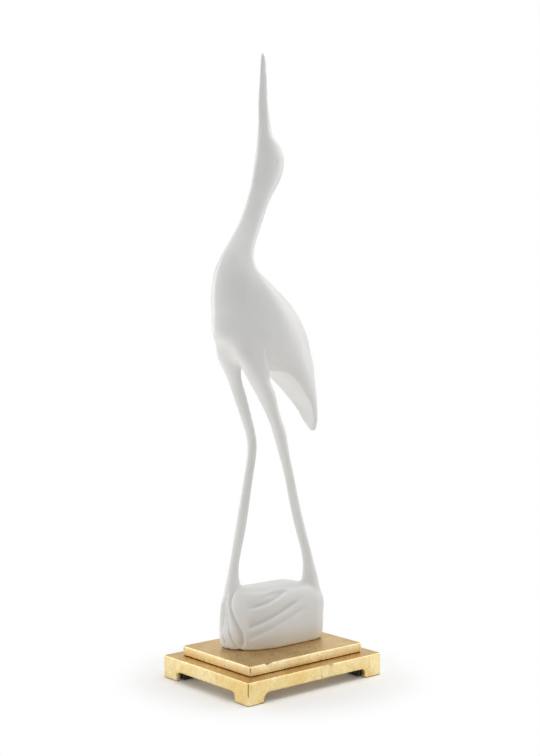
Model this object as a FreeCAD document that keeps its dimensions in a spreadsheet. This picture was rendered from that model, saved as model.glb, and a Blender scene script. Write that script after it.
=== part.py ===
"""A carved crane figure on a gilded two-tier stand.

Millimetres, +Z up. The origin is the centre of the stand's underside, on the surface it stands on.
The bird faces -X, its tail points to +X, and its left side is the -Y side.
"""

import FreeCAD, Part
import math
import os

# Driving sizes of the stand, its fixings and the carving
SIZES = {
    "tier_height": 26.7,
    "tier_ledge": 16,
    "apron_thickness": 8,
    "foot_width": 25,
    "foot_height": 11,
    "foot_corner_radius": 5,
    "deck_thickness": 10,
    "slab_thickness": 11.7,
    "slab_edge_radius": 1.2,
    "block_width": 22,
    "block_recess": 1.5,
    "screw_diameter": 4.5,
    "screw_clearance": 0.25,
    "screw_grip": 20,
    "screw_tip_length": 4,
    "screw_head_diameter": 9,
    "screw_head_height": 2.6,
    "screw_slot_width": 1.2,
    "screw_slot_depth": 1.3,
    "screw_inset": 34,
    "pilot_clearance": 0.1,
    "pilot_extra_depth": 2,
    "washer_diameter": 13,
    "washer_thickness": 1.2,
    "rock_margin_front": 26,
    "rock_margin_tail": 14,
    "rock_margin_left": 41,
    "rock_margin_right": 26,
    "rock_length": 131,
    "rock_width": 58,
    "rock_skew": 12,
    "rock_front_power": 2.5,
    "rock_tail_power": 5.5,
    "leg_length": 261.5,
    "leg_spread": 14,
    "left_foot_inset": 18.5,
    "right_foot_inset": 16.5,
    "body_setback": 74,
    "gouge_radius": 5,
    "gouge_depth": 1.8,
    "strand_radius": 6,
    "strand_depth": 1.8,
    "eye_radius": 2.2,
    "eye_proud": 0.7,
}

# Rock sections from the foot up: rise from the last one, then how far each lies inside the outline
ROCK_FIELDS = ("rise", "front_inset", "tail_inset", "side_inset")
ROCK = {
    "rock_foot": (0, 3.5, 3, 2),
    "rock_bulge": (9, 0.5, 1.5, 0.5),
    "rock_waist": (21, 0, 1, 0),
    "rock_shoulder": (23, 3, 2, 1.5),
    "rock_brow": (11, 8, 16, 5),
    "rock_crest": (5, 14, 34, 12),
    "rock_top": (1.5, 26, 46, 21),
}

# Body sections from the belly up to the beak: rise from the last one, offset of the widest point
# from the belly's (+ towards the tail), depth before and behind it, half width
BODY_FIELDS = ("rise", "offset", "front", "back", "half_width")
BODY = {
    "belly": (0, 0, 34, 48, 30.5),
    "loin": (13, -12, 52, 56, 33),
    "flank": (12, -20, 67, 60.5, 35),
    "chest": (25, -30, 62.5, 56.5, 36.5),
    "breast": (25, -41.5, 51, 44, 35.5),
    "shoulder": (20, -50.5, 40, 24.5, 31),
    "neck_root": (15, -57.5, 29, 14, 25.5),
    "nape": (15, -57.5, 21, 12.5, 20),
    "neck_low": (15, -52.5, 15.5, 13.5, 16.5),
    "neck_middle": (20, -42.5, 13, 13.5, 13.5),
    "neck_high": (30, -28.5, 14.5, 14, 12),
    "throat": (25, -18, 18, 20, 12.5),
    "cheek": (15, -14, 19, 20, 13.5),
    "crown": (12, -13, 17.5, 18, 13),
    "brow": (10, -15, 14.5, 14.5, 11),
    "beak_root": (10, -19.5, 9.5, 10, 8.5),
    "beak_base": (10, -21, 7.5, 9, 6.5),
    "beak_low": (23, -22.5, 6.2, 6.5, 5),
    "beak_middle": (25, -22.5, 5, 5.2, 4.2),
    "beak_high": (20, -22.5, 3.7, 3.8, 3.2),
    "beak_end": (12, -22.6, 2.6, 2.6, 2.4),
    "beak_tip": (5, -23.2, 1.4, 1.4, 1.2),
}

# Tail sections from the belly down: drop from the last one, then as for the body
TAIL_FIELDS = ("drop", "offset", "front", "back", "half_width")
TAIL = {
    "tail_root": (25, 20.5, 14.5, 31, 25.5),
    "tail_middle": (25, 39, 10, 16.7, 18.3),
    "tail_low": (15, 46.5, 6, 11.7, 13.3),
    "tail_end": (13, 53, 4, 6, 7.5),
    "tail_tip": (6.5, 54.5, 1.5, 2.5, 3),
}

# Sections of the tool that hollows the tail's underside, as for the tail
HOLLOW = {
    "hollow_top": (10, -19, 3, 3, 6),
    "hollow_root": (10, -10, 10, 20, 31.5),
    "hollow_upper": (10, -7, 8, 28, 28),
    "hollow_middle": (20, 11, 8, 28, 23),
    "hollow_low": (15, 27, 8, 20, 16.6),
    "hollow_end": (11, 41, 6, 8, 10),
    "hollow_tip": (8, 45.5, 4, 6, 8),
}

# Leg sections from inside the rock up to inside the body: rise, offset from the foot (+ tail side),
# half depth, half width
LEG_FIELDS = ("rise", "offset", "half_depth", "half_width")
RIGHT_LEG = {
    "right_root": (-18, 0, 10.5, 10),
    "right_foot": (21, 0, 9, 8.5),
    "right_ankle": (10, 0.5, 7.2, 6.8),
    "right_shin": (40, 8.5, 6, 6),
    "right_calf": (46, 18.5, 5.9, 5.7),
    "right_hock": (35, 25.5, 5.4, 5.4),
    "right_knee": (32, 29.5, 5.7, 5.6),
    "right_thigh": (27, 22, 6.5, 6.4),
    "right_ham": (36, 8.5, 8, 7.6),
}
LEFT_LEG = {
    "left_root": (-18, 2, 13, 11),
    "left_foot": (21, 0, 10, 9),
    "left_ankle": (13, -1.5, 7.7, 7.2),
    "left_shin": (40, -13, 6.1, 6),
    "left_calf": (50, -27.5, 5.9, 5.8),
    "left_hock": (24, -33.5, 5.8, 5.7),
    "left_knee": (28, -42, 6.7, 6.5),
    "left_shank": (24, -49, 8, 7.4),
    "left_thigh": (24, -60, 8.7, 8.2),
    "left_ham": (24, -71.5, 11.8, 11),
}

# Where each leg opens into the body: height over the belly, offset from the belly, half sizes, spread
HIP_FIELDS = ("rise", "offset", "half_depth", "half_width", "spread")
RIGHT_HIPS = {
    "right_groin": (-9, -57.5, 10, 10.5, 14),
    "right_hip": (2, -60, 15.5, 12.5, 13),
    "right_haunch": (25, -59.5, 23, 11.5, 8.5),
}
LEFT_HIPS = {
    "left_groin": (-19, -40.5, 13, 12, 14),
    "left_loin": (-8, -43.5, 17.5, 13.5, 14.5),
    "left_hip": (5, -46, 25, 14, 15),
    "left_haunch": (28, -47.5, 29, 12, 15.5),
}

# Gouge strokes on the rock's long faces: start and end, each along from the front end and up
STROKE_FIELDS = ("start_along", "start_up", "end_along", "end_up")
STROKES = {
    "stroke_high": (15, 53, 66, 65),
    "stroke_middle": (17, 32, 79, 50),
    "stroke_low": (40, 21, 92, 41),
}

# Strands carved down the rock's front end from the right foot: across from the middle, and up
STRAND_FIELDS = ("top_across", "top_up", "foot_across", "foot_up")
STRANDS = {
    "strand_right": (20, 48, 22, 12),
    "strand_middle": (17, 50, 9, 8),
    "strand_left": (14, 50, -6, 10),
}

# How finely a section is drawn, how square the hollowing tool's back is, and the tolerances of a skin
SECTION_POINTS = 24
HOLLOW_POWER = 4
FIX_PRECISION = 0.001
FIX_SMALLEST = 0.0001
FIX_LARGEST = 0.01

doc = FreeCAD.newDocument("crane_on_stand")
sheet = doc.addObject("Spreadsheet::Sheet", "Sizes")


def fill_sheet():
    """Write every driving size to the sheet, one row each, with its name as the alias."""
    rows = dict(SIZES)
    tables = (
        (ROCK, ROCK_FIELDS),
        (BODY, BODY_FIELDS),
        (TAIL, TAIL_FIELDS),
        (HOLLOW, TAIL_FIELDS),
        (RIGHT_LEG, LEG_FIELDS),
        (LEFT_LEG, LEG_FIELDS),
        (RIGHT_HIPS, HIP_FIELDS),
        (LEFT_HIPS, HIP_FIELDS),
        (STROKES, STROKE_FIELDS),
        (STRANDS, STRAND_FIELDS),
    )
    for table, fields in tables:
        for station, values in table.items():
            for field, value in zip(fields, values):
                rows[station + "_" + field] = value
    for row, (alias, value) in enumerate(rows.items(), start=1):
        sheet.set("A%d" % row, alias)
        sheet.set("B%d" % row, str(value))
        sheet.setAlias("B%d" % row, alias)
    doc.recompute()


def size(alias):
    """One driving size, read back from the sheet."""
    return float(sheet.get(alias))


def station(name, fields):
    """The sheet's values for one section, by field."""
    return {field: size(name + "_" + field) for field in fields}


def bind(item, **expressions):
    """Tie an object's properties to expressions on the sheet."""
    for name, expression in expressions.items():
        item.setExpression(name, expression)
    return item


def place(item, x="0", y="0", z="0"):
    """Tie an object's position to expressions on the sheet."""
    item.setExpression("Placement.Base.x", x)
    item.setExpression("Placement.Base.y", y)
    item.setExpression("Placement.Base.z", z)
    return item


def add(kind, name, **expressions):
    return bind(doc.addObject(kind, name), **expressions)


def cut(name, base, tool):
    """Base without tool, as a document object."""
    result = doc.addObject("Part::Cut", name)
    result.Base = base
    result.Tool = tool
    return result


def fuse(name, items):
    result = doc.addObject("Part::MultiFuse", name)
    result.Shapes = items
    return result


fill_sheet()

# The stand's outline follows the rock: the slab leaves a margin round it, the tier a ledge round the slab
SLAB_LENGTH = "(Sizes.rock_margin_front + Sizes.rock_length + Sizes.rock_margin_tail)"
SLAB_WIDTH = "(Sizes.rock_margin_left + Sizes.rock_width + Sizes.rock_margin_right)"
TIER_LENGTH = "(" + SLAB_LENGTH + " + 2 * Sizes.tier_ledge)"
TIER_WIDTH = "(" + SLAB_WIDTH + " + 2 * Sizes.tier_ledge)"
SLAB_TOP = "(Sizes.tier_height + Sizes.slab_thickness)"
DECK_UNDERSIDE = "(Sizes.tier_height - Sizes.deck_thickness)"
ROCK_MIDDLE_Y = "(-" + SLAB_WIDTH + " / 2 + Sizes.rock_margin_left + Sizes.rock_width / 2)"
ROCK_FRONT_X = "(-" + SLAB_LENGTH + " / 2 + Sizes.rock_margin_front)"
SCREW_X = (
    ROCK_FRONT_X + " + Sizes.screw_inset",
    ROCK_FRONT_X + " + Sizes.rock_length - Sizes.screw_inset",
)

slab_length = size("rock_margin_front") + size("rock_length") + size("rock_margin_tail")
slab_width = size("rock_margin_left") + size("rock_width") + size("rock_margin_right")
slab_top = size("tier_height") + size("slab_thickness")
rock_front = -slab_length / 2 + size("rock_margin_front")
rock_tail = rock_front + size("rock_length")
rock_left = -slab_width / 2 + size("rock_margin_left")
rock_right = rock_left + size("rock_width")
rock_middle_x = (rock_front + rock_tail) / 2
rock_middle_y = (rock_left + rock_right) / 2
rock_top = slab_top + sum(size(name + "_rise") for name in ROCK)
belly_height = rock_top + size("leg_length")
belly_x = rock_front + size("body_setback")


def section(height, x, y, front, back, half_width, front_power=2.0, back_power=2.0, skew=0.0):
    """A closed horizontal curve with its own depth before and behind its widest point.

    A power of 2 gives half an ellipse and a higher one a squarer half. Skew leads the front end
    sideways.
    """
    points = []
    for step in range(SECTION_POINTS):
        angle = 2 * math.pi * step / SECTION_POINTS
        along = math.cos(angle)
        across = math.sin(angle)
        ahead = along < 0
        power = 2 / (front_power if ahead else back_power)
        depth = front if ahead else back
        lead = skew * along * along if ahead else 0
        points.append(
            FreeCAD.Vector(
                x + math.copysign(depth * abs(along) ** power, along),
                y + lead + math.copysign(half_width * abs(across) ** power, across),
                height,
            )
        )
    curve = Part.BSplineCurve()
    knots = [float(step) for step in range(SECTION_POINTS + 1)]
    curve.interpolate(Points=points, PeriodicFlag=True, Parameters=knots)
    return curve


def skin(curves):
    """A solid whose side passes smoothly through closed level curves, with flat ends."""
    nets = [curve.getPoles() for curve in curves]
    travel = [0.0]
    for lower, upper in zip(nets, nets[1:]):
        steps = [(high - low).Length for low, high in zip(lower, upper)]
        travel.append(travel[-1] + sum(steps) / len(steps))
    columns = []
    for number in range(len(nets[0])):
        column = Part.BSplineCurve()
        column.interpolate(Points=[net[number] for net in nets], Parameters=travel)
        columns.append(column)
    around, upward = curves[0], columns[0]
    surface = Part.BSplineSurface()
    surface.buildFromPolesMultsKnots(
        [column.getPoles() for column in columns],
        around.getMultiplicities(),
        upward.getMultiplicities(),
        around.getKnots(),
        upward.getKnots(),
        True,
        False,
        around.Degree,
        upward.Degree,
    )
    side = surface.toShape()
    ends = [Part.Face(Part.Wire([edge])) for edge in side.Edges if edge.isClosed()]
    solid = Part.Solid(Part.Shell([side] + ends))
    solid.fix(FIX_PRECISION, FIX_SMALLEST, FIX_LARGEST)
    return solid


def body_form():
    """Tail, body, neck, head and beak as one smooth skin through level sections."""
    levels = []
    height = belly_height
    for name in TAIL:
        row = station(name, TAIL_FIELDS)
        height -= row.pop("drop")
        levels.insert(0, (height, row))
    height = belly_height
    for name in BODY:
        row = station(name, BODY_FIELDS)
        height += row.pop("rise")
        levels.append((height, row))
    curves = []
    for level, row in levels:
        x = belly_x + row.pop("offset")
        curves.append(section(level, x, rock_middle_y, **row))
    return skin(curves)


def hollow_form():
    """The broad tool that leaves the tail's underside hollow between its two lower edges."""
    curves = []
    height = belly_height
    for name in HOLLOW:
        row = station(name, TAIL_FIELDS)
        height -= row.pop("drop")
        x = belly_x + row.pop("offset")
        curves.insert(0, section(height, x, rock_middle_y, back_power=HOLLOW_POWER, **row))
    return skin(curves)


def leg_form(table, hips, foot_x, side):
    """One leg, from its root in the rock to its haunch in the body."""
    curves = []
    height = rock_top
    for name in table:
        row = station(name, LEG_FIELDS)
        height += row["rise"]
        x = foot_x + row["offset"]
        y = rock_middle_y + side * size("leg_spread")
        curves.append(section(height, x, y, row["half_depth"], row["half_depth"], row["half_width"]))
    for name in hips:
        row = station(name, HIP_FIELDS)
        x = belly_x + row["offset"]
        y = rock_middle_y + side * row["spread"]
        height = belly_height + row["rise"]
        curves.append(section(height, x, y, row["half_depth"], row["half_depth"], row["half_width"]))
    return skin(curves)


def rock_form():
    """The rock as one skin through level sections, with its front end led towards the right foot."""
    curves = []
    height = slab_top
    for name in ROCK:
        row = station(name, ROCK_FIELDS)
        height += row["rise"]
        front = rock_middle_x - rock_front - row["front_inset"]
        back = rock_tail - rock_middle_x - row["tail_inset"]
        half_width = (rock_right - rock_left) / 2 - row["side_inset"]
        powers = (size("rock_front_power"), size("rock_tail_power"))
        skew = size("rock_skew")
        curves.append(section(height, rock_middle_x, rock_middle_y, front, back, half_width, *powers, skew))
    return skin(curves)


def rod(start, end, radius):
    """A straight round tool with ball ends."""
    axis = end - start
    shape = Part.makeCylinder(radius, axis.Length, start, axis)
    return shape.fuse([Part.makeSphere(radius, start), Part.makeSphere(radius, end)])


def surface_point(shape, inside, direction, reach):
    """Where a ray from a point inside the shape leaves it."""
    ray = Part.makeLine(inside, inside + direction * reach)
    return ray.common(shape).Vertexes[-1].Point


def carving_tools(rock):
    """Gouge strokes on both long faces of the rock, and strands down its front end."""
    tools = []
    reach = size("rock_length")
    lift = size("gouge_radius") - size("gouge_depth")
    for side in (-1, 1):
        outward = FreeCAD.Vector(0, side, 0)
        for name in STROKES:
            row = station(name, STROKE_FIELDS)
            ends = []
            for end in ("start", "end"):
                x = rock_front + row[end + "_along"]
                inside = FreeCAD.Vector(x, rock_middle_y, slab_top + row[end + "_up"])
                ends.append(surface_point(rock, inside, outward, reach) + outward * lift)
            tools.append(rod(*ends, size("gouge_radius")))
    outward = FreeCAD.Vector(-1, 0, 0)
    lift = size("strand_radius") - size("strand_depth")
    for name in STRANDS:
        row = station(name, STRAND_FIELDS)
        ends = []
        for end in ("top", "foot"):
            y = rock_middle_y + row[end + "_across"]
            inside = FreeCAD.Vector(rock_middle_x, y, slab_top + row[end + "_up"])
            ends.append(surface_point(rock, inside, outward, reach) + outward * lift)
        tools.append(rod(*ends, size("strand_radius")))
    return tools


def eye(side):
    """A low round eye at the widest point of the cheek."""
    height = belly_height + sum(size(name + "_rise") for name in list(BODY)[: list(BODY).index("cheek") + 1])
    across = size("cheek_half_width") - size("eye_radius") + size("eye_proud")
    centre = FreeCAD.Vector(belly_x + size("cheek_offset"), rock_middle_y + side * across, height)
    return Part.makeSphere(size("eye_radius"), centre)


def feature(name, shape):
    """A document object that holds a free form."""
    item = doc.addObject("Part::Feature", name)
    item.Shape = shape
    return item


def figure():
    """The bird, its legs and the rock, cast in one."""
    right_x = rock_front + size("right_foot_inset")
    left_x = rock_tail - size("left_foot_inset")
    rock = rock_form()
    forms = [
        cut("bird_form", feature("bird_skin", body_form()), feature("tail_hollow", hollow_form())),
        feature("right_eye_form", eye(1)),
        feature("left_eye_form", eye(-1)),
        feature("right_leg_form", leg_form(RIGHT_LEG, RIGHT_HIPS, right_x, 1)),
        feature("left_leg_form", leg_form(LEFT_LEG, LEFT_HIPS, left_x, -1)),
        feature("rock_form", rock),
    ]
    solid = fuse("figure_forms", forms)
    tools = [feature("gouge_%d" % number, tool) for number, tool in enumerate(carving_tools(rock), start=1)]
    for number, x in enumerate(SCREW_X, start=1):
        pilot = add(
            "Part::Cylinder",
            "pilot_hole_%d" % number,
            Radius="Sizes.screw_diameter / 2 + Sizes.pilot_clearance",
            Height="Sizes.screw_grip + Sizes.pilot_extra_depth",
        )
        tools.append(place(pilot, x, ROCK_MIDDLE_Y, SLAB_TOP))
    return cut("crane_figure", solid, fuse("figure_cuts", tools))


def drilled(name, board, underside, thickness):
    """A board with a clearance hole for each figure screw."""
    holes = []
    for number, x in enumerate(SCREW_X, start=1):
        hole = add(
            "Part::Cylinder",
            "%s_hole_%d" % (name, number),
            Radius="Sizes.screw_diameter / 2 + Sizes.screw_clearance",
            Height=thickness,
        )
        holes.append(place(hole, x, ROCK_MIDDLE_Y, underside))
    return cut(name, board, fuse(name + "_holes", holes))


def top_slab():
    """The upper slab, with its four upright and four top edges eased."""
    board = add(
        "Part::Box",
        "slab_board",
        Length=SLAB_LENGTH,
        Width=SLAB_WIDTH,
        Height="Sizes.slab_thickness",
    )
    place(board, "-" + SLAB_LENGTH + " / 2", "-" + SLAB_WIDTH + " / 2", "Sizes.tier_height")
    doc.recompute()
    top = board.Shape.BoundBox.ZMax
    radius = size("slab_edge_radius")
    eased = []
    for number, edge in enumerate(board.Shape.Edges, start=1):
        upright = edge.BoundBox.ZLength > radius
        on_top = edge.BoundBox.ZMin > top - radius
        if upright or on_top:
            eased.append((number, radius, radius))
    rounded = doc.addObject("Part::Fillet", "slab_rounded")
    rounded.Base = board
    rounded.Edges = eased
    return drilled("top_slab", rounded, "Sizes.tier_height", "Sizes.slab_thickness")


def deck_panel():
    """The board let in between the aprons, flush with their top."""
    board = add(
        "Part::Box",
        "deck_board",
        Length=TIER_LENGTH + " - 2 * Sizes.apron_thickness",
        Width=TIER_WIDTH + " - 2 * Sizes.apron_thickness",
        Height="Sizes.deck_thickness",
    )
    x = "-" + TIER_LENGTH + " / 2 + Sizes.apron_thickness"
    y = "-" + TIER_WIDTH + " / 2 + Sizes.apron_thickness"
    place(board, x, y, DECK_UNDERSIDE)
    return drilled("deck_panel", board, DECK_UNDERSIDE, "Sizes.deck_thickness")


def apron(name, length, reach, angle):
    """A mitred board with a bracket foot at each end, its outer face at reach from the centre."""
    board = add(
        "Part::Wedge",
        name + "_board",
        Xmin="-" + length + " / 2",
        Xmax=length + " / 2",
        X2min="-" + length + " / 2 + Sizes.apron_thickness",
        X2max=length + " / 2 - Sizes.apron_thickness",
        Ymax="Sizes.apron_thickness",
        Zmax="Sizes.tier_height",
        Z2max="Sizes.tier_height",
    )
    board.Ymin = 0
    board.Zmin = 0
    board.Z2min = 0
    span = "(" + length + " - 2 * Sizes.foot_width)"
    radius = "Sizes.foot_corner_radius"
    lower = add(
        "Part::Box",
        name + "_gap_low",
        Length=span,
        Width="Sizes.apron_thickness",
        Height="Sizes.foot_height - " + radius,
    )
    place(lower, "-" + span + " / 2")
    upper = add(
        "Part::Box",
        name + "_gap_high",
        Length=span + " - 2 * " + radius,
        Width="Sizes.apron_thickness",
        Height="Sizes.foot_height",
    )
    place(upper, "-" + span + " / 2 + " + radius)
    gap = [lower, upper]
    for end, sign in (("front", "-"), ("back", "")):
        corner = add("Part::Cylinder", name + "_corner_" + end, Radius=radius, Height="Sizes.apron_thickness")
        corner.Placement.Rotation = FreeCAD.Rotation(FreeCAD.Vector(1, 0, 0), -90)
        place(corner, sign + "(" + span + " / 2 - " + radius + ")", "0", "Sizes.foot_height - " + radius)
        gap.append(corner)
    result = cut(name, board, fuse(name + "_gap", gap))
    result.Placement.Rotation = FreeCAD.Rotation(FreeCAD.Vector(0, 0, 1), angle)
    across = round(math.sin(math.radians(angle)))
    along = round(math.cos(math.radians(angle)))
    return place(result, "%d * %s / 2" % (across, reach), "%d * %s / 2" % (-along, reach))


def corner_blocks():
    """A glue block in each inner corner, from the deck down to just above the floor."""
    blocks = []
    height = DECK_UNDERSIDE + " - Sizes.block_recess"
    for end, along in (("front", -1), ("tail", 1)):
        for side, across in (("left", -1), ("right", 1)):
            block = add(
                "Part::Box",
                "corner_block_%s_%s" % (end, side),
                Length="Sizes.block_width",
                Width="Sizes.block_width",
                Height=height,
            )
            inner_x = "(" + TIER_LENGTH + " / 2 - Sizes.apron_thickness)"
            inner_y = "(" + TIER_WIDTH + " / 2 - Sizes.apron_thickness)"
            x = "-" + inner_x if along < 0 else inner_x + " - Sizes.block_width"
            y = "-" + inner_y if across < 0 else inner_y + " - Sizes.block_width"
            blocks.append(place(block, x, y, "Sizes.block_recess"))
    return blocks


def figure_fixings():
    """Two slotted screws with washers, driven up through deck and slab into the rock."""
    pieces = []
    seat = DECK_UNDERSIDE + " - Sizes.washer_thickness"
    for name, x in zip(("front", "tail"), SCREW_X):
        shank = add(
            "Part::Cylinder",
            "screw_shank_" + name,
            Radius="Sizes.screw_diameter / 2",
            Height=SLAB_TOP + " + Sizes.screw_grip - Sizes.screw_tip_length - (" + seat + ")",
        )
        place(shank, x, ROCK_MIDDLE_Y, seat)
        tip = add(
            "Part::Cone",
            "screw_tip_" + name,
            Radius1="Sizes.screw_diameter / 2",
            Height="Sizes.screw_tip_length",
        )
        tip.Radius2 = 0
        place(tip, x, ROCK_MIDDLE_Y, SLAB_TOP + " + Sizes.screw_grip - Sizes.screw_tip_length")
        head = add(
            "Part::Cylinder",
            "screw_head_" + name,
            Radius="Sizes.screw_head_diameter / 2",
            Height="Sizes.screw_head_height",
        )
        place(head, x, ROCK_MIDDLE_Y, seat + " - Sizes.screw_head_height")
        slot = add(
            "Part::Box",
            "screw_slot_" + name,
            Length="Sizes.screw_head_diameter",
            Width="Sizes.screw_slot_width",
            Height="Sizes.screw_slot_depth",
        )
        slot_x = x + " - Sizes.screw_head_diameter / 2"
        slot_y = ROCK_MIDDLE_Y + " - Sizes.screw_slot_width / 2"
        place(slot, slot_x, slot_y, seat + " - Sizes.screw_head_height")
        pieces.append(cut("figure_screw_" + name, fuse("screw_" + name + "_turned", [shank, tip, head]), slot))
        disc = add(
            "Part::Cylinder",
            "washer_disc_" + name,
            Radius="Sizes.washer_diameter / 2",
            Height="Sizes.washer_thickness",
        )
        bore = add(
            "Part::Cylinder",
            "washer_bore_" + name,
            Radius="Sizes.screw_diameter / 2 + Sizes.screw_clearance",
            Height="Sizes.washer_thickness",
        )
        for item in (disc, bore):
            place(item, x, ROCK_MIDDLE_Y, seat)
        pieces.append(cut("washer_" + name, disc, bore))
    return pieces


def sub_parts():
    """Every piece that is written out."""
    pieces = [
        figure(),
        top_slab(),
        deck_panel(),
        apron("apron_left", TIER_LENGTH, TIER_WIDTH, 0),
        apron("apron_tail", TIER_WIDTH, TIER_LENGTH, 90),
        apron("apron_right", TIER_LENGTH, TIER_WIDTH, 180),
        apron("apron_front", TIER_WIDTH, TIER_LENGTH, 270),
    ]
    return pieces + corner_blocks() + figure_fixings()


def check(pieces):
    """Stop if any object failed or any piece isn't one valid solid."""
    for item in doc.Objects:
        if "Invalid" in item.State or "Error" in item.State:
            raise RuntimeError("failed object: " + item.Name)
    for piece in pieces:
        shape = piece.Shape
        if shape.isNull() or not shape.isValid() or len(shape.Solids) != 1:
            raise RuntimeError("bad shape: %s, %d solids" % (piece.Label, len(shape.Solids)))


def main():
    pieces = sub_parts()
    doc.recompute()
    check(pieces)
    os.makedirs("parts", exist_ok=True)
    for piece in pieces:
        piece.Shape.exportStep("parts/%s.step" % piece.Label)
        box = piece.Shape.BoundBox
        print(piece.Label, "%.1f x %.1f x %.1f mm" % (box.XLength, box.YLength, box.ZLength))


main()
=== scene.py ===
"""Looks of the white crane figure on its gilded two-tier stand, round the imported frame. Metres, +Z up."""

import math

import bpy
import numpy as np
import openvdb
from mathutils import Euler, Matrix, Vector

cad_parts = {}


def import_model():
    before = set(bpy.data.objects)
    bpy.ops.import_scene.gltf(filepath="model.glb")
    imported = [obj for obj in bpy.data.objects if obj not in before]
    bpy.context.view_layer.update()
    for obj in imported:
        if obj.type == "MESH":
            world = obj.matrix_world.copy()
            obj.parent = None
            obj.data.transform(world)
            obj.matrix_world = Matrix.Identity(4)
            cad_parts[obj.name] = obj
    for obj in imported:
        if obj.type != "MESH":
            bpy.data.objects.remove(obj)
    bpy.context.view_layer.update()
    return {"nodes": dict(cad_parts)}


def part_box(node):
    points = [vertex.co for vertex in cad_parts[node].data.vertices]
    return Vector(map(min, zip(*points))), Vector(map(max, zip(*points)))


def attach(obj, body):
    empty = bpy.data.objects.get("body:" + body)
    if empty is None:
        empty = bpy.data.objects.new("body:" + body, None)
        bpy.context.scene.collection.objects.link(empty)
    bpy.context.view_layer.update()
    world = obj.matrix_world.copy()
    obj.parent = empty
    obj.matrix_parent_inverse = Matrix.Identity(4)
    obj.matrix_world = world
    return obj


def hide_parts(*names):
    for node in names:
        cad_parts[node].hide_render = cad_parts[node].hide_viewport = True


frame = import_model()

MM = 0.001

# The photograph's view: a portrait frame whose long side is the sensor's 36 mm
CAMERA_PLACE = (-1.0415, -1.2273, 0.4505)
CAMERA_TURN_DEG = (86.518, 0.0, -40.209)
CAMERA_LENS = 65.84
CAMERA_SENSOR = 36.0

# Places on the object, read from the frame
figure_low, figure_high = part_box("crane_figure")
slab_low, slab_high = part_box("top_slab")
screw_low, screw_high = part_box("figure_screw_front")

TIER_NODES = ("apron_left", "apron_right", "apron_front", "apron_tail", "deck_panel")
BLOCK_NODES = [name for name in frame["nodes"] if name.startswith("corner_block")]
STEEL_NODES = [name for name in frame["nodes"] if name.startswith(("figure_screw", "washer"))]

# The figure's middle plane, the rock's foot and top, and the middle of the belly
middle_y = (screw_low.y + screw_high.y) / 2
rock_foot = slab_high.z
rock_top = rock_foot + 70.5 * MM
belly = rock_top + 261.5 * MM
belly_x = (screw_low.x + screw_high.x) / 2 + 40 * MM

# Voxel sizes, how far from a surface its distances are kept, and the steps that even out a mesh
FIGURE_VOXEL = 1.42 * MM
FIGURE_REACH = 8 * MM
COARSE_VOXEL = 2.3 * MM
COARSE_REACH = 24 * MM
STAND_VOXEL = 1.0 * MM
STAND_REACH = 5 * MM
RELAX_STEPS = (0.5, -0.52) * 4

# How many sigmas a blur reaches, and what is taken off a block's count of voxels to stay in its last cell
BLUR_REACH = 2.5
LAST_CELL = 1.001


def camera():
    data = bpy.data.cameras.new("camera")
    data.sensor_width = CAMERA_SENSOR
    data.lens = CAMERA_LENS
    item = bpy.data.objects.new("camera", data)
    item.location = CAMERA_PLACE
    item.rotation_euler = Euler([math.radians(turn) for turn in CAMERA_TURN_DEG])
    bpy.context.scene.collection.objects.link(item)
    bpy.context.scene.camera = item


# Surfaces as blocks of distances: negative inside, positive outside

class Block:
    """A box of voxels, each holding its distance to a surface, cut off at reach."""

    def __init__(self, low, high, voxel, reach):
        self.voxel = voxel
        self.reach = reach
        self.first = tuple(math.floor((value - reach) / voxel) for value in low)
        last = [math.ceil((value + reach) / voxel) for value in high]
        self.shape = tuple(end - start + 1 for start, end in zip(self.first, last))
        self.transform = openvdb.createLinearTransform(voxelSize=voxel)

    def distances(self, points, triangles=None, quads=None):
        """The block's distances to a closed surface."""
        grid = openvdb.FloatGrid.createLevelSetFromPolygons(
            points,
            triangles=triangles,
            quads=quads,
            transform=self.transform,
            halfWidth=self.reach / self.voxel,
        )
        values = np.empty(self.shape, np.float32)
        grid.copyToArray(values, ijk=self.first)
        return values

    def surface(self, values, level=0.0):
        """Points, triangles and quads of the surface where the block holds that value."""
        grid = openvdb.FloatGrid(self.reach)
        grid.copyFromArray(np.ascontiguousarray(values, np.float32), ijk=self.first)
        grid.transform = self.transform
        return grid.convertToPolygons(isovalue=level)

    def closed(self, values, radius):
        """Values with every hollow filled that a ball of that radius can't reach into."""
        points, triangles, quads = self.surface(values, radius)
        return self.distances(points, triangles, quads) + np.float32(radius)

    def axes(self):
        """The places of the voxels along x, y and z, shaped so that they combine."""
        spans = [(first + np.arange(count)) * self.voxel for first, count in zip(self.first, self.shape)]
        return np.meshgrid(*spans, indexing="ij", sparse=True)

    def read(self, values, places):
        """Values at any places, mixed from the eight voxels round each."""
        steps = places / self.voxel - np.array(self.first)
        steps = np.clip(steps, 0, np.array(self.shape) - LAST_CELL)
        lower = np.floor(steps).astype(int)
        share = steps - lower
        total = np.zeros(len(places))
        for corner in np.ndindex(2, 2, 2):
            weight = np.prod(np.where(corner, share, 1 - share), axis=1)
            total += weight * values[tuple((lower + corner).T)]
        return total

    def resample(self, values, source):
        """Another block's values on this block's voxels."""
        for axis in range(3):
            places = (self.first[axis] + np.arange(self.shape[axis])) * self.voxel / source.voxel
            places = np.clip(places - source.first[axis], 0, source.shape[axis] - LAST_CELL)
            lower = np.floor(places).astype(int)
            share = (places - lower).reshape([-1 if number == axis else 1 for number in range(3)])
            below, above = np.take(values, lower, axis), np.take(values, lower + 1, axis)
            values = below + (above - below) * share.astype(np.float32)
        return values


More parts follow.
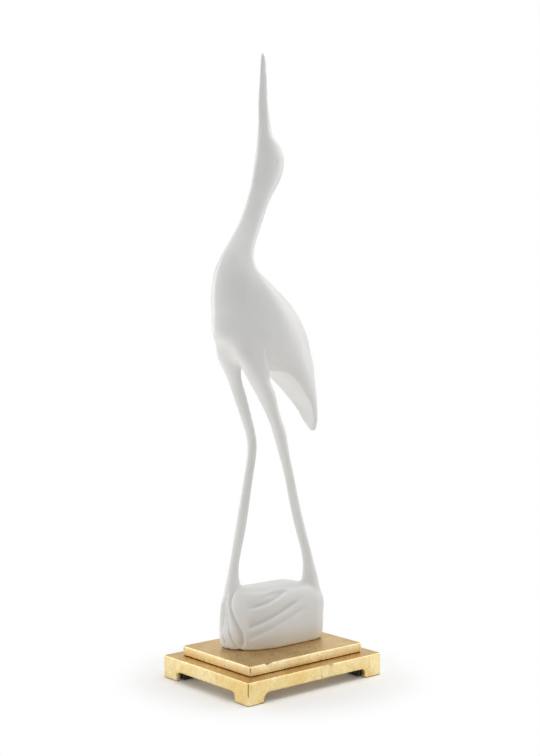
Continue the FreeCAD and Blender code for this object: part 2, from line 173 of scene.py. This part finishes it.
def node_surface(name):
    """A CAD node's points and triangles."""
    mesh = frame["nodes"][name].data
    mesh.calc_loop_triangles()
    points = np.empty(len(mesh.vertices) * 3, np.float32)
    mesh.vertices.foreach_get("co", points)
    corners = np.empty(len(mesh.loop_triangles) * 3, np.int32)
    mesh.loop_triangles.foreach_get("vertices", corners)
    return points.reshape(-1, 3), corners.reshape(-1, 3).astype(np.uint32)


def softened(values, sigma):
    """Values after a Gaussian blur of sigma voxels."""
    half = math.ceil(BLUR_REACH * sigma)
    steps = np.arange(-half, half + 1)
    weights = np.exp(-0.5 * (steps / sigma) ** 2)
    weights /= weights.sum()
    for axis in range(3):
        pads = [(half, half) if number == axis else (0, 0) for number in range(3)]
        padded = np.pad(values, pads, mode="edge")
        count = values.shape[axis]
        total = np.zeros_like(values)
        for start, weight in enumerate(weights.astype(np.float32)):
            window = [slice(None)] * 3
            window[axis] = slice(start, start + count)
            total += weight * padded[tuple(window)]
        values = total
    return values


def ease(value, start, end):
    """0 before start, 1 after end, and a smooth step between them."""
    share = np.clip((value - start) / (end - start), 0, 1)
    return share * share * (3 - 2 * share)


def between(value, start, full, still, end):
    """Rises from 0 at start to 1 at full, and falls from 1 at still to 0 at end."""
    return ease(value, start, full) * ease(-value, -end, -still)


def span(place, low, high, offsets):
    """Rises between two offsets from low and falls between two from high, the offsets in millimetres."""
    bases = (low, low, high, high)
    return between(place, *[base + offset * MM for base, offset in zip(bases, offsets)])


def mixed(plain, other, share):
    """One block turned into the other by a share from 0 to 1."""
    return plain + (other - plain) * share.astype(np.float32)


def relaxed(points, triangles, quads):
    """Points moved to the middle of their neighbours and out again, which evens a mesh but keeps its size."""
    start = np.concatenate([quads.ravel(), triangles.ravel()])
    end = np.concatenate([np.roll(faces, -1, axis=1).ravel() for faces in (quads, triangles)])
    neighbours = np.bincount(start, minlength=len(points))[:, None]
    for step in RELAX_STEPS:
        sums = [np.bincount(start, points[end, axis], len(points)) for axis in range(3)]
        points = points + step * (np.stack(sums, axis=1) / neighbours - points)
    return points


def make_object(name, points, triangles, quads):
    """A smooth-shaded mesh object."""
    mesh = bpy.data.meshes.new(name)
    mesh.from_pydata(points.tolist(), [], triangles.tolist() + quads.tolist())
    mesh.validate()
    mesh.shade_smooth()
    item = bpy.data.objects.new(name, mesh)
    bpy.context.scene.collection.objects.link(item)
    return item


def vertex_places(item):
    """The places of an object's vertices."""
    vertices = item.data.vertices
    places = np.empty(len(vertices) * 3, np.float64)
    vertices.foreach_get("co", places)
    return places.reshape(-1, 3)


def set_values(item, name, values):
    """Store a number for each vertex, which materials read by name."""
    attribute = item.data.attributes.new(name, "FLOAT", "POINT")
    attribute.data.foreach_set("value", values.astype(np.float32))


# The figure's carving, in millimetres. A line on the rock's long faces gives heights over the table by x,
# and one on its front end gives y by height. Each is a smooth curve fitted to its few points. Flanks and
# lips are how wide the step at a line is on its two sides, and ends are where it starts and fades out.
# Face lines fade in away from the middle plane over FACE_SIDES, and front ones along -x over FRONT_SPAN.

FACE_LINES = {
    "upper": ((-43, -29, -12, 0, 10), (86.7, 90, 94.7, 99, 103.1)),
    "middle": ((-43, -25, -8, 9, 26), (64.8, 71.3, 77.8, 83.6, 90.6)),
    "lower": ((-43, -29, -5, 20, 33), (51.3, 58, 66.3, 74.4, 78.6)),
}
FACE_FLANKS = {"upper": 9.5, "middle": 12, "lower": 9}
FACE_DEPTHS = {"upper": 2.6, "middle": 2.6, "lower": 1.5}
FACE_LIP = 1.7
FACE_ENDS = (-1.5, 1.5, -16, 8)
FACE_SIDES = (11 * MM, 17 * MM)

FRONT_LINES = {
    "outer": ((104, 88, 69, 48), (18.5, 21.3, 23, 18.5)),
    "between": ((100, 85, 68, 50), (17, 18.3, 17.6, 12.4)),
    "inner": ((94, 78, 61, 46), (15.5, 14.5, 11, 5)),
    "knob": ((108, 95, 85, 78, 63, 50), (11, 12, 9, 5, -1, -3.5)),
}
FRONT_FLANKS = {"outer": 4, "between": 3.4, "inner": 5, "knob": 7}
FRONT_DEPTHS = {"outer": 2.6, "between": 2.2, "inner": 2.8, "knob": 3.4}
FRONT_LIP = 1.9
FRONT_ENDS = (-14, 0, -10, 4)
FRONT_SPAN = (30 * MM, 40 * MM)
FLANK_POWER = 1.6
LIP_POWER = 1.4


def smooth_line(along, across, degree=3):
    """A smooth curve fitted to a few points given in millimetres, for places in metres."""
    curve = np.poly1d(np.polyfit(along, across, degree))
    return lambda place: curve(place / MM) * MM


def cut_depth(offset, flank, lip, depth):
    """Depth of a carved step: a wide flank on the plus side of its line and a narrow lip on the other."""
    plus = np.clip(1 - offset / (flank * MM), 0, 1)
    minus = np.clip(1 + offset / (lip * MM), 0, 1)
    return depth * MM * np.where(offset > 0, plus ** FLANK_POWER, minus ** LIP_POWER)


def rock_carving(x, y, z):
    """How deep the rock is carved at each place."""
    total = 0
    for name, (along, heights) in FACE_LINES.items():
        line = smooth_line(along, heights, 2)
        start, end = along[0] * MM, along[-1] * MM
        fade = span(x, start, end, FACE_ENDS)
        depth = cut_depth(z - line(x), FACE_FLANKS[name], FACE_LIP, FACE_DEPTHS[name])
        total = total + depth * fade * ease(abs(y - middle_y), *FACE_SIDES)
    for name, (heights, across) in FRONT_LINES.items():
        line = smooth_line(heights, across)
        top, foot = heights[0] * MM, heights[-1] * MM
        fade = span(z, foot, top, FRONT_ENDS)
        depth = cut_depth(y - line(z), FRONT_FLANKS[name], FRONT_LIP, FRONT_DEPTHS[name])
        total = np.maximum(total, depth * fade * ease(-x, *FRONT_SPAN))
    return total


# The cut between the beak's halves, x by height, and the middle of each eye, seen from the side
MOUTH_HEIGHT = (636.6, 650, 661.5, 678.6, 695.8, 713)
MOUTH_X = (-10, -9.4, -9.5, -9.6, -9.3, -8.8)
MOUTH_HALF_WIDTH = 1.7
MOUTH_DEPTH = 1.1
MOUTH_ENDS = (-8, 4, -6, 4)
MOUTH_SIDES = (0.6 * MM, 2.4 * MM)
EYE_X = 0.3
EYE_HEIGHT = 601.8
EYE_RADIUS = 3.2
EYE_FLAT = 0.4
EYE_DEPTH = 0.8
EYE_SIDES = (5 * MM, 8 * MM)


def head_carving(x, y, z):
    """How deep the beak's cut and the eyes are sunk at each place."""
    offset = abs(x - np.interp(z, np.multiply(MOUTH_HEIGHT, MM), np.multiply(MOUTH_X, MM)))
    cut = MOUTH_DEPTH * MM * ease(-offset, -MOUTH_HALF_WIDTH * MM, 0)
    cut = cut * span(z, MOUTH_HEIGHT[0] * MM, MOUTH_HEIGHT[-1] * MM, MOUTH_ENDS)
    cut = cut * ease(abs(y - middle_y), *MOUTH_SIDES)
    from_eye = np.sqrt((x - EYE_X * MM) ** 2 + (z - EYE_HEIGHT * MM) ** 2)
    eye = EYE_DEPTH * MM * ease(-from_eye, -EYE_RADIUS * MM, -EYE_FLAT * EYE_RADIUS * MM)
    return np.maximum(cut, eye * ease(abs(y - middle_y), *EYE_SIDES))


# The wing's lower edge by x: its height, the half width at the top of the wall over it, and how far the
# hollow under it runs inward for each step down. Then the walls, and the line where the hollow ends at the
# thigh. AWAY is far past every distance held: added or taken off, it switches a form off.
WING_X = (-34, -25, -14, 3.5, 17, 29, 41, 52)
WING_HEIGHT = (384.5, 383.5, 380, 365.6, 355.8, 345.9, 332.5, 316)
WING_HALF_WIDTH = (27, 29.5, 31.2, 28.3, 27.3, 25.8, 22, 10)
WING_SLOPE = (0.6, 0.6, 0.8, 1.6, 3, 3, 3, 3)
WALL_HEIGHT = 10 * MM
WALL_DRAFT = 0.12
WALL_START = (-30 * MM, -22 * MM)
WING_END = (44 * MM, 50 * MM)
HOLLOW_DEPTH = 7 * MM
HOLLOW_FOOT = (belly - 84 * MM, belly - 78 * MM)
THIGH_HEIGHT = (296, 314, 332, 341, 350, 361, 368, 378, 386)
THIGH_BACK = (10, 4, -3, -10, -14.5, -21, -25.5, -30, -33.5)
THIGH_FADE = 4 * MM
AWAY = 400 * MM


def wing_edges(values, x, y, z):
    """Wings whose walls run down to a crisp lower edge, with a shallow hollow under it."""
    along = np.multiply(WING_X, MM)
    height = np.interp(x, along, np.multiply(WING_HEIGHT, MM))
    half_width = np.interp(x, along, np.multiply(WING_HALF_WIDTH, MM))
    slope = np.interp(x, along, WING_SLOPE)
    side = abs(y - middle_y)
    wall = side - half_width + WALL_DRAFT * (height + WALL_HEIGHT - z)
    wall = np.maximum(wall, abs(z - height - WALL_HEIGHT / 2) - WALL_HEIGHT / 2)
    on_wall = between(x, *WALL_START, *WING_END)
    values = np.minimum(values, wall + (1 - on_wall) * AWAY)
    thigh = np.interp(z, np.multiply(THIGH_HEIGHT, MM), np.multiply(THIGH_BACK, MM))
    behind = ease(x - thigh, 0, THIGH_FADE) * (1 - ease(x, *WING_END)) * ease(z, *HOLLOW_FOOT)
    slant = (side - half_width + WALL_DRAFT * WALL_HEIGHT + slope * (height - z)) / np.hypot(1, slope)
    hollow = np.minimum(slant, values + HOLLOW_DEPTH) - (1 - behind) * AWAY
    return np.maximum(values, hollow).astype(np.float32)


# How the legs join the body and the rock: the radius of a ball that just fits each hollow there, and the
# heights between which it is filled, in millimetres over the belly, or over the rock's foot and top. The
# breast and the soft blur work only ahead of the belly's middle, and fade in over the distances given.
HIP_RADIUS = 5 * MM
HIP_SPAN = (-10, 2, 35, 75)
ROOT_RADIUS = 3 * MM
ROOT_SPAN = (30, 50, 8, 26)
BREAST_RADIUS = 17 * MM
BREAST_SPAN = (-4, 10, 40, 80)
BREAST_AHEAD = (30 * MM, 48 * MM)
ROCK_SPAN = (3, 8, -14, -2)
SOFT_BLUR = 2.1
SOFT_SPAN = (-6, 10, 25, 65)
SOFT_AHEAD = (14 * MM, 32 * MM)


def figure_field(block):
    """Distances to the figure, with its legs blended into the body and the rock."""
    plain = block.distances(*node_surface("crane_figure"))
    x, y, z = block.axes()
    ahead = belly_x - x
    values = mixed(plain, block.closed(plain, HIP_RADIUS), span(z, belly, belly, HIP_SPAN))
    values = mixed(values, block.closed(plain, ROOT_RADIUS), span(z, rock_foot, rock_top, ROOT_SPAN))

    coarse = Block(figure_low, figure_high, COARSE_VOXEL, COARSE_REACH)
    rough = coarse.distances(*node_surface("crane_figure"))
    breast = block.resample(coarse.closed(rough, BREAST_RADIUS), coarse)
    values = mixed(values, breast, span(z, belly, belly, BREAST_SPAN) * ease(ahead, *BREAST_AHEAD))
    values = mixed(values, breast, span(z, rock_foot, rock_top, ROCK_SPAN))

    soft = softened(values, SOFT_BLUR)
    values = mixed(values, soft, span(z, belly, belly, SOFT_SPAN) * ease(ahead, *SOFT_AHEAD))
    return wing_edges(values, x, y, z)


# How far over the rock's top its carving ends, over what height it fades out, the carving's blur in voxels,
# and the depth that the material reads as 1 when it paints shade into the carving
CARVING_TOP = 14 * MM
CARVING_FADE = 6 * MM
CARVING_BLUR = 0.55
CARVED_FULL = 2 * MM


def figure():
    """The carved casting, whose material reads how deep it is carved from its vertices, to paint shade into
    the carving.
    """
    block = Block(figure_low, figure_high, FIGURE_VOXEL, FIGURE_REACH)
    values = figure_field(block)
    x, y, z = block.axes()
    rock = np.clip((rock_top + CARVING_TOP - z) / CARVING_FADE, 0, 1)
    carved = (rock_carving(x, y, z) * rock + head_carving(x, y, z)).astype(np.float32)
    points, triangles, quads = block.surface(softened(values + carved, CARVING_BLUR))
    item = make_object("crane_casting", relaxed(points, triangles, quads), triangles, quads)
    set_values(item, "carved", block.read(carved, vertex_places(item)) / CARVED_FULL)
    return item


# The gilded stand: blurs in voxels, and how far a blur moves the surface at the sharpest edges

SKIN_BLUR = 0.8
EDGE_BLUR = 2.2
EDGE_FULL = 0.8 * MM


def piece_box(nodes):
    """Lowest and highest corners of several nodes together."""
    corners = [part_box(node) for node in nodes]
    low = [min(low[axis] for low, high in corners) for axis in range(3)]
    high = [max(high[axis] for low, high in corners) for axis in range(3)]
    return low, high


def stand_piece(name, nodes):
    """One skin of gesso and leaf over several boards, with eased edges."""
    block = Block(*piece_box(nodes), STAND_VOXEL, STAND_REACH)
    # Boards that are half a voxel thicker close the seams between them, and are then thinned again
    swell = np.float32(0.5 * STAND_VOXEL)
    boards = [block.distances(*node_surface(node)) for node in nodes]
    values = np.minimum.reduce(boards) - swell
    values = block.distances(*block.surface(values)) + swell
    item = make_object(name, *block.surface(softened(values, SKIN_BLUR)))
    edge = block.read(softened(values, EDGE_BLUR) - values, vertex_places(item))
    set_values(item, "edge", np.clip(edge / EDGE_FULL, -1, 1))
    return item


# Materials: small helpers first, then one function for each

class Shader:
    """A material's node tree, with short ways to add nodes and join them."""

    def __init__(self, name):
        self.material = bpy.data.materials.new(name)
        self.material.use_nodes = True
        self.nodes = self.material.node_tree.nodes
        self.links = self.material.node_tree.links
        self.surface = self.nodes["Principled BSDF"]
        self.place = self.nodes.new("ShaderNodeTexCoord").outputs["Object"]

    def join(self, source, target):
        self.links.new(source, target)

    def fill(self, socket, value):
        """Link a socket to another node's output, or set it to a number."""
        if isinstance(value, bpy.types.NodeSocket):
            self.links.new(value, socket)
        else:
            socket.default_value = value

    def maths(self, operation, *values):
        """The result of one sum or other operation on numbers or other nodes' outputs."""
        node = self.nodes.new("ShaderNodeMath")
        node.operation = operation
        for socket, value in zip(node.inputs, values):
            self.fill(socket, value)
        return node.outputs[0]

    def stretch(self, x, y, z):
        """The place on the object, scaled along each axis."""
        node = self.nodes.new("ShaderNodeVectorMath")
        node.operation = "MULTIPLY"
        self.join(self.place, node.inputs[0])
        node.inputs[1].default_value = (x, y, z)
        return node.outputs[0]

    def noise(self, scale, detail=2.0, roughness=0.5, place=None, distortion=0.0):
        node = self.nodes.new("ShaderNodeTexNoise")
        self.join(place or self.place, node.inputs["Vector"])
        node.inputs["Scale"].default_value = scale
        node.inputs["Detail"].default_value = detail
        node.inputs["Roughness"].default_value = roughness
        node.inputs["Distortion"].default_value = distortion
        return node.outputs["Fac"]

    def level(self, value, start, end, low=0.0, high=1.0):
        """Map value from start..end to low..high, smoothly and held within them."""
        node = self.nodes.new("ShaderNodeMapRange")
        node.interpolation_type = "SMOOTHSTEP"
        for key, number in (("From Min", start), ("From Max", end), ("To Min", low), ("To Max", high)):
            node.inputs[key].default_value = number
        self.fill(node.inputs["Value"], value)
        return node.outputs["Result"]

    def mix(self, share, first, second):
        """A colour between two others."""
        node = self.nodes.new("ShaderNodeMix")
        node.data_type = "RGBA"
        self.fill(node.inputs["Factor"], share)
        for socket, colour in ((node.inputs["A"], first), (node.inputs["B"], second)):
            self.fill(socket, colour)
        return node.outputs["Result"]

    def attribute(self, name):
        """A number that the mesh holds for each vertex."""
        node = self.nodes.new("ShaderNodeAttribute")
        node.attribute_name = name
        return node.outputs["Fac"]

    def part(self, vector, axis):
        """A vector's x, y or z, by number."""
        node = self.nodes.new("ShaderNodeSeparateXYZ")
        self.join(vector, node.inputs[0])
        return node.outputs[axis]

    def normal(self, axis):
        """One part of the surface's own direction."""
        return self.part(self.nodes.new("ShaderNodeNewGeometry").outputs["Normal"], axis)

    def bump(self, height, depth):
        node = self.nodes.new("ShaderNodeBump")
        node.inputs["Strength"].default_value = 1.0
        node.inputs["Distance"].default_value = depth
        self.join(height, node.inputs["Height"])
        self.join(node.outputs["Normal"], self.surface.inputs["Normal"])

    def set(self, **values):
        """Fill the shader's sockets by name, with _ in the place of each space."""
        for key, value in values.items():
            self.fill(self.surface.inputs[key.replace("_", " ")], value)


def casting_material():
    """Cast resin with a satin lacquer: warm white, hand smoothed, with painted shade darkening the carving.
    """
    shader = Shader("white_casting")
    cloud = shader.noise(28, 3)
    white = shader.mix(shader.level(cloud, 0.3, 0.7), (0.79, 0.785, 0.765, 1), (0.815, 0.81, 0.79, 1))
    # Painted shade: the carving is darkened towards grey by how deep it is cut
    carved = shader.level(shader.attribute("carved"), 0.3, 1.1, 0.0, 0.6)
    colour = shader.mix(carved, white, (0.58, 0.57, 0.54, 1))
    sheen = shader.maths("MULTIPLY_ADD", shader.noise(30, 1), 0.04, 0.28)
    shader.set(Base_Color=colour, Roughness=sheen)
    return shader.material


# The leaf: its squares' length, the laps between them, where one lap lies along x and along y on each
# piece, and its colours, darker to lighter, on the upright faces and on the faces that point up, which are
# painted darker and browner as shade
LEAF_LENGTH = 76 * MM
LAP_WIDTH = 0.5 * MM
TIER_LAPS = (6.4 * MM, 54.1 * MM)
SLAB_LAPS = (21.0 * MM, 59.9 * MM)
TIER_FACES = ((0.92, 0.70, 0.30, 1), (1.0, 0.86, 0.50, 1))
TIER_SHADED_TOPS = ((0.44, 0.30, 0.15, 1), (0.55, 0.40, 0.22, 1))
TIER_METAL = 0.95
SLAB_FACES = ((0.92, 0.72, 0.38, 1), (1.0, 0.86, 0.52, 1))
SLAB_SHADED_TOPS = ((0.50, 0.34, 0.15, 1), (0.61, 0.44, 0.22, 1))
SLAB_METAL = 0.75
BOLE_RED = (0.24, 0.085, 0.04, 1)
# Painted shade and shadow: the brown laid into inner corners and along the foot of each piece
PAINTED_SHADE_BROWN = (0.20, 0.10, 0.04, 1)
LAP_BROWN = (0.42, 0.20, 0.07, 1)


def leaf_grid(shader, axis, first):
    """A tone of its own for each leaf along an axis, and 1 on the laps between them."""
    place = shader.maths("SUBTRACT", shader.part(shader.place, axis), first)
    tone = shader.nodes.new("ShaderNodeTexWhiteNoise")
    tone.noise_dimensions = "1D"
    shader.join(shader.maths("FLOOR", shader.maths("DIVIDE", place, LEAF_LENGTH)), tone.inputs["W"])
    from_lap = shader.maths("PINGPONG", place, LEAF_LENGTH / 2)
    return tone.outputs["Value"], shader.level(from_lap, LAP_WIDTH * 0.4, LAP_WIDTH, 1.0, 0.0)


def rubbed_places(shader, fine, edge):
    """1 where the leaf is rubbed through: spots on the sharp edges, and a few flecks near them."""
    rubbed = shader.maths("ADD", edge, shader.level(fine, 0.25, 0.75, -0.8, 0.1))
    rubbed = shader.maths("ADD", rubbed, shader.level(shader.noise(34, 2), 0.48, 0.7, -0.9, 0.25))
    flecks = shader.level(shader.noise(420, 4, 0.7), 0.68, 0.74)
    near_edge = shader.level(edge, 0.02, 0.4, 0.06, 0.4)
    flecks = shader.maths("MULTIPLY", flecks, near_edge)
    return shader.maths("MAXIMUM", shader.level(rubbed, 0.6, 1.0), flecks)


def leaf_colour(shader, broad, fine, laps, faces, shaded_tops):
    """Mottled leaf with painted shade, darker and browner where it faces up, each square with a tone of its
    own and darker at its laps.
    """
    patches = shader.mix(shader.level(broad, 0.36, 0.64), *faces)
    mottled = shader.mix(shader.level(fine, 0.42, 0.74, 0, 0.5), patches, (0.74, 0.50, 0.20, 1))
    # Painted shade: faces that point up take the darker, browner colours
    top = shader.mix(shader.level(broad, 0.35, 0.65), *shaded_tops)
    colour = shader.mix(shader.level(shader.normal(2), 0.6, 0.95), mottled, top)
    along_x = shader.level(shader.maths("ABSOLUTE", shader.normal(1)), 0.5, 0.9)
    leaves_x, leaves_y = [leaf_grid(shader, axis, first) for axis, first in enumerate(laps)]
    tone, lap = [shader.mix(along_x, second, first) for first, second in zip(leaves_x, leaves_y)]
    colour = shader.mix(shader.maths("MULTIPLY", tone, 0.28), colour, (0.62, 0.42, 0.17, 1))
    lap = shader.maths("MULTIPLY", lap, shader.level(fine, 0.35, 0.6, 0.15, 0.8))
    return shader.mix(lap, colour, LAP_BROWN)


def bare_corner(shader, height, low, high):
    """1 along the upper part of the upright corner at the piece's lowest x and y."""
    corner = shader.nodes.new("ShaderNodeVectorMath")
    corner.operation = "DISTANCE"
    shader.join(shader.stretch(1, 1, 0), corner.inputs[0])
    corner.inputs[1].default_value = (low[0], low[1], 0)
    near = shader.level(corner.outputs["Value"], 0.7 * MM, 1.9 * MM, 1.0, 0.0)
    tall = high[2] - low[2]
    return shader.maths("MULTIPLY", near, shader.level(height, low[2] + 0.3 * tall, low[2] + 0.5 * tall))


def gold_material(name, laps, low, high, faces, shaded_tops, metal):
    """Burnished leaf over a dark red ground: leaves with laps, mottling, fine wrinkles and rubbed edges, with
    painted shade on the faces that point up and in the inner corners, and a painted shadow along each piece's
    foot.
    """
    shader = Shader(name)
    broad = shader.noise(26, 4, 0.6)
    fine = shader.noise(170, 5, 0.65, distortion=0.4)
    edge = shader.attribute("edge")
    height = shader.part(shader.place, 2)
    worn = rubbed_places(shader, fine, edge)
    worn = shader.maths("MAXIMUM", worn, bare_corner(shader, height, low, high))
    colour = leaf_colour(shader, broad, fine, laps, faces, shaded_tops)
    colour = shader.mix(shader.maths("MULTIPLY", worn, 0.75), colour, BOLE_RED)
    # Painted shade in the inner corners, where the edge value is below zero, and a painted shadow line along
    # the foot of each piece, which under the slab is partly also the worn joint
    hollow = shader.level(edge, -0.5, -0.12, 0.75, 0.0)
    foot = shader.level(height, low[2] + 0.4 * MM, low[2] + 1.5 * MM, 0.8, 0.0)
    colour = shader.mix(shader.maths("MAXIMUM", hollow, foot), colour, PAINTED_SHADE_BROWN)

    rough = shader.maths("ADD", shader.level(fine, 0.3, 0.7, 0.24, 0.42), shader.maths("MULTIPLY", worn, 0.3))
    metal = shader.maths("SUBTRACT", metal, shader.maths("MULTIPLY", worn, 0.7))
    shader.set(Base_Color=colour, Roughness=rough, Metallic=metal, Specular_Tint=(1.0, 0.9, 0.75, 1))
    wrinkles = shader.maths("MULTIPLY", shader.noise(900, 2), 0.2)
    wrinkles = shader.maths("ADD", shader.maths("MULTIPLY", fine, 0.8), wrinkles)
    shader.bump(shader.maths("ADD", wrinkles, shader.maths("MULTIPLY", broad, 1.5)), 0.0002)
    return shader.material


def dark_material():
    """Nearly black stained wood with a faint upright grain."""
    shader = Shader("dark_wood")
    grain = shader.noise(420, 5, 0.65, shader.stretch(1, 1, 0.12))
    colour = shader.mix(shader.level(grain, 0.35, 0.65), (0.012, 0.009, 0.007, 1), (0.035, 0.026, 0.02, 1))
    shader.set(Base_Color=colour, Roughness=shader.level(grain, 0.3, 0.7, 0.55, 0.8))
    shader.bump(grain, 0.0003)
    return shader.material


def steel_material():
    """Plain turned steel with fine scratches and a few dull spots."""
    shader = Shader("screw_steel")
    scratches = shader.noise(2500, 3, 0.6, shader.stretch(1, 1, 0.2))
    spots = shader.noise(500, 3)
    colour = shader.mix(shader.level(spots, 0.35, 0.7), (0.58, 0.58, 0.59, 1), (0.42, 0.41, 0.40, 1))
    shader.set(Base_Color=colour, Metallic=1.0, Roughness=shader.level(scratches, 0.3, 0.7, 0.28, 0.45))
    shader.bump(scratches, 0.00005)
    return shader.material


def dress(item, material):
    item.data.materials.clear()
    item.data.materials.append(material)


# Stage

def area_lamp(name, place, target, width, height, power, seen=True):
    data = bpy.data.lights.new(name, "AREA")
    data.shape = "RECTANGLE"
    data.size = width
    data.size_y = height
    data.energy = power
    item = bpy.data.objects.new(name, data)
    item.location = place
    item.rotation_euler = (Vector(target) - Vector(place)).to_track_quat("-Z", "Y").to_euler()
    item.visible_camera = seen
    item.visible_glossy = seen
    bpy.context.scene.collection.objects.link(item)


# The floor's half size, its grey, its glow where it is seen and the distances over which it turns white,
# and the strength of the world's light
FLOOR_HALF = 8.0
FLOOR_GREY = (0.92, 0.92, 0.92, 1)
FLOOR_GLOW = 0.08
FLOOR_FADE = (0.11, 0.2)
AMBIENT = 0.33


def seen_directly(shader_nodes, links):
    """1 for rays that show the stage itself: from the camera, or through gloss or glass."""
    paths = shader_nodes.new("ShaderNodeLightPath")
    total = paths.outputs["Is Camera Ray"]
    for key in ("Is Glossy Ray", "Is Transmission Ray"):
        either = shader_nodes.new("ShaderNodeMath")
        either.operation = "MAXIMUM"
        links.new(total, either.inputs[0])
        links.new(paths.outputs[key], either.inputs[1])
        total = either.outputs[0]
    return total


def floor():
    """A pale floor that keeps the object's shadow and fades to white away from it."""
    corners = [(x * FLOOR_HALF, y * FLOOR_HALF, 0) for x, y in ((-1, -1), (1, -1), (1, 1), (-1, 1))]
    mesh = bpy.data.meshes.new("floor")
    mesh.from_pydata(corners, [], [(0, 1, 2, 3)])
    item = bpy.data.objects.new("floor", mesh)
    bpy.context.scene.collection.objects.link(item)
    shader = Shader("floor_white")
    seen = seen_directly(shader.nodes, shader.links)
    glow = shader.maths("MULTIPLY", seen, FLOOR_GLOW)
    shader.set(Base_Color=FLOOR_GREY, Roughness=1.0, Specular_IOR_Level=0.0)
    shader.set(Emission_Color=(1, 1, 1, 1), Emission_Strength=glow)
    white = shader.nodes.new("ShaderNodeEmission")
    length = shader.nodes.new("ShaderNodeVectorMath")
    length.operation = "LENGTH"
    shader.join(shader.place, length.inputs[0])
    far = shader.level(length.outputs["Value"], *FLOOR_FADE)
    blend = shader.nodes.new("ShaderNodeMixShader")
    shader.join(shader.maths("MULTIPLY", far, seen), blend.inputs[0])
    shader.join(shader.surface.outputs[0], blend.inputs[1])
    shader.join(white.outputs[0], blend.inputs[2])
    shader.join(blend.outputs[0], shader.nodes["Material Output"].inputs["Surface"])
    item.data.materials.append(shader.material)


def world():
    made = bpy.data.worlds.new("studio")
    made.use_nodes = True
    bpy.context.scene.world = made
    nodes, links = made.node_tree.nodes, made.node_tree.links
    strength = nodes.new("ShaderNodeMapRange")
    strength.inputs["To Min"].default_value = AMBIENT
    strength.inputs["To Max"].default_value = 1.0
    links.new(seen_directly(nodes, links), strength.inputs["Value"])
    background = nodes["Background"]
    background.inputs["Color"].default_value = (1, 1, 1, 1)
    links.new(strength.outputs[0], background.inputs["Strength"])


def lamps():
    middle = (0.0, 0.0, 0.35)
    area_lamp("right_softbox", (1.5, -0.5, 0.8), middle, 1.0, 1.2, 6)
    area_lamp("back_left_softbox", (-0.45, 1.45, 0.6), middle, 0.8, 1.2, 5)
    area_lamp("top_softbox", (0.2, -0.2, 1.9), middle, 1.4, 1.4, 18)
    area_lamp("left_bounce", (-0.75, 0.3, 0.06), (0, 0, 0.4), 0.7, 0.5, 3.4, seen=False)
    area_lamp("front_bounce", (0.1, -0.6, 0.004), (0.1, -0.6, 1), 0.7, 0.7, 0.8, seen=False)


bpy.context.scene.view_settings.view_transform = "Standard"
camera()
world()
lamps()
floor()

casting = figure()
tier = stand_piece("gilded_tier", TIER_NODES)
slab = stand_piece("gilded_slab", ("top_slab",))

dress(casting, casting_material())
tier_box = piece_box(TIER_NODES)
slab_box = (slab_low, slab_high)
dress(tier, gold_material("tier_leaf", TIER_LAPS, *tier_box, TIER_FACES, TIER_SHADED_TOPS, TIER_METAL))
dress(slab, gold_material("slab_leaf", SLAB_LAPS, *slab_box, SLAB_FACES, SLAB_SHADED_TOPS, SLAB_METAL))
wood, steel = dark_material(), steel_material()
for name in BLOCK_NODES:
    dress(frame["nodes"][name], wood)
for name in STEEL_NODES:
    dress(frame["nodes"][name], steel)

for item, slot, nodes in (
    (casting, "white_casting", ("crane_figure",)),
    (tier, "gilt_wood", TIER_NODES),
    (slab, "gilt_wood", ("top_slab",)),
):
    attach(item, "root")
    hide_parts(*nodes)
